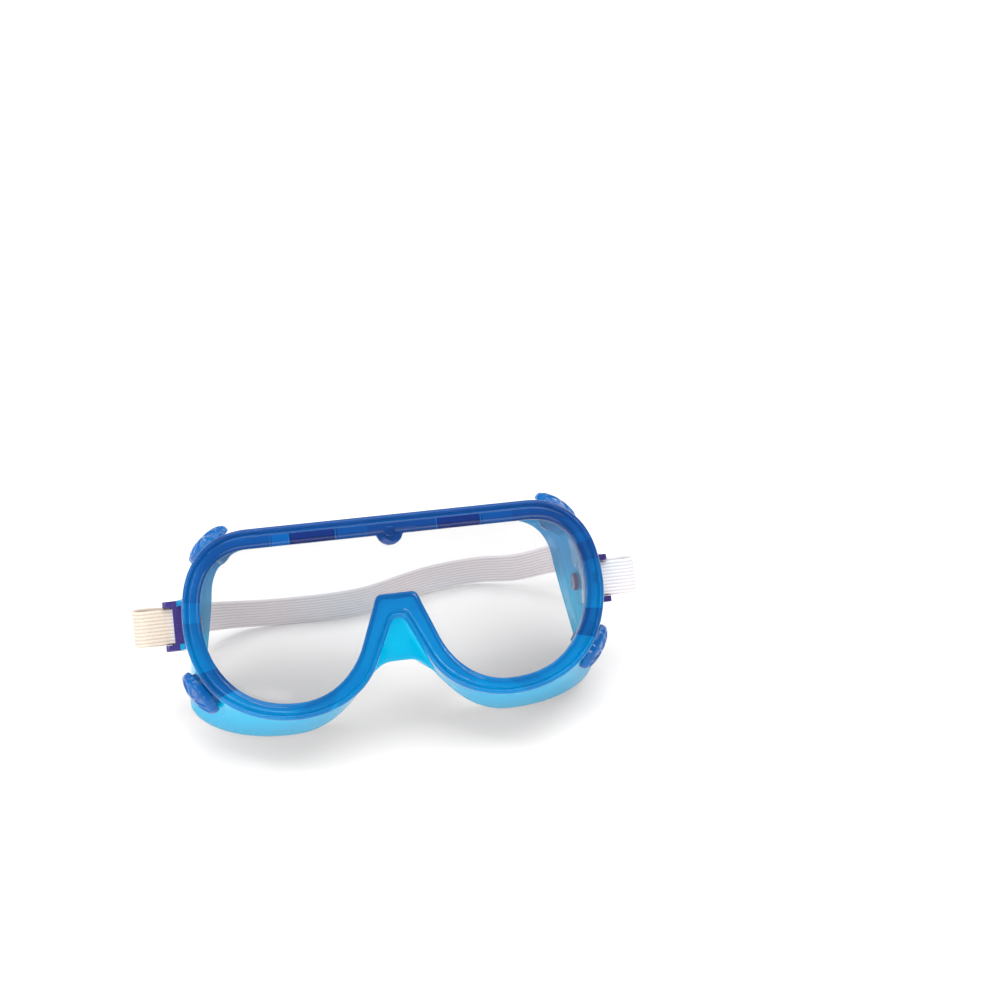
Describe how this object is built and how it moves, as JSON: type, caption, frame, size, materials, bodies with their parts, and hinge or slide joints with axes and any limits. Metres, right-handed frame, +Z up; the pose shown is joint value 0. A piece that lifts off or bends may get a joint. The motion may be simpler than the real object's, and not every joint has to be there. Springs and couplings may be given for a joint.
{
  "type": "safety goggles",
  "caption": "Child's wraparound splash goggles: soft tinted frame, clear flat lens, round covered vents and a ribbed elastic headband on side clips.",
  "frame": {"origin": "on the surface the goggles rest on, under the middle of their overall box", "axes": "+X across the goggles, +Y from the lens towards the headband, +Z up; at rest the frame leans back 40 degrees on the lower edge of its face seal"},
  "size_m": [0.188, 0.0978, 0.0758],
  "materials": {
    "tinted_soft_plastic": "glossy translucent soft moulding, deeper blue where it is thick",
    "clear_lens": "clear, smooth and glossy",
    "vent_seat_plastic": "glossy translucent moulding",
    "vent_cap_plastic": "glossy translucent moulding with raised ribs",
    "clip_plastic": "glossy violet-blue moulding",
    "ribbed_elastic": "matt woven elastic with lengthwise ribs"
  },
  "bodies": {
    "root": {"frame_body": "tinted_soft_plastic", "lens": "clear_lens", "vent_seat_top_right": "vent_seat_plastic", "vent_seat_top_left": "vent_seat_plastic", "vent_seat_bottom_right": "vent_seat_plastic", "vent_seat_bottom_left": "vent_seat_plastic", "strap_clip_right": "clip_plastic", "strap_clip_left": "clip_plastic", "strap_end_right": "ribbed_elastic", "strap_end_left": "ribbed_elastic"},
    "vent_cap_top_right": {"vent_cap_top_right": "vent_cap_plastic"},
    "vent_cap_top_left": {"vent_cap_top_left": "vent_cap_plastic"},
    "vent_cap_bottom_right": {"vent_cap_bottom_right": "vent_cap_plastic"},
    "vent_cap_bottom_left": {"vent_cap_bottom_left": "vent_cap_plastic"},
    "headband": {"headband": "ribbed_elastic"}
  },
  "joints": [
    {"name": "vent_cap_top_right_turn", "type": "hinge", "parent": "root", "child": "vent_cap_top_right", "pos_m": [0.06203, 0.00481, 0.06128], "axis": [0.6365, 0.381, 0.6706], "continuous": true},
    {"name": "vent_cap_top_left_turn", "type": "hinge", "parent": "root", "child": "vent_cap_top_left", "pos_m": [-0.06203, 0.00481, 0.06128], "axis": [-0.6365, 0.381, 0.6706], "continuous": true},
    {"name": "vent_cap_bottom_right_turn", "type": "hinge", "parent": "root", "child": "vent_cap_bottom_right", "pos_m": [0.06933, -0.02585, 0.02353], "axis": [0.821, -0.4626, -0.3347], "continuous": true},
    {"name": "vent_cap_bottom_left_turn", "type": "hinge", "parent": "root", "child": "vent_cap_bottom_left", "pos_m": [-0.06933, -0.02585, 0.02353], "axis": [-0.821, -0.4626, -0.3347], "continuous": true},
    {"name": "headband_swing", "type": "hinge", "parent": "root", "child": "headband", "pos_m": [0, -0.00224, 0.03444], "axis": [1, 0, 0], "range_deg": [-45, 70]}
  ]
}
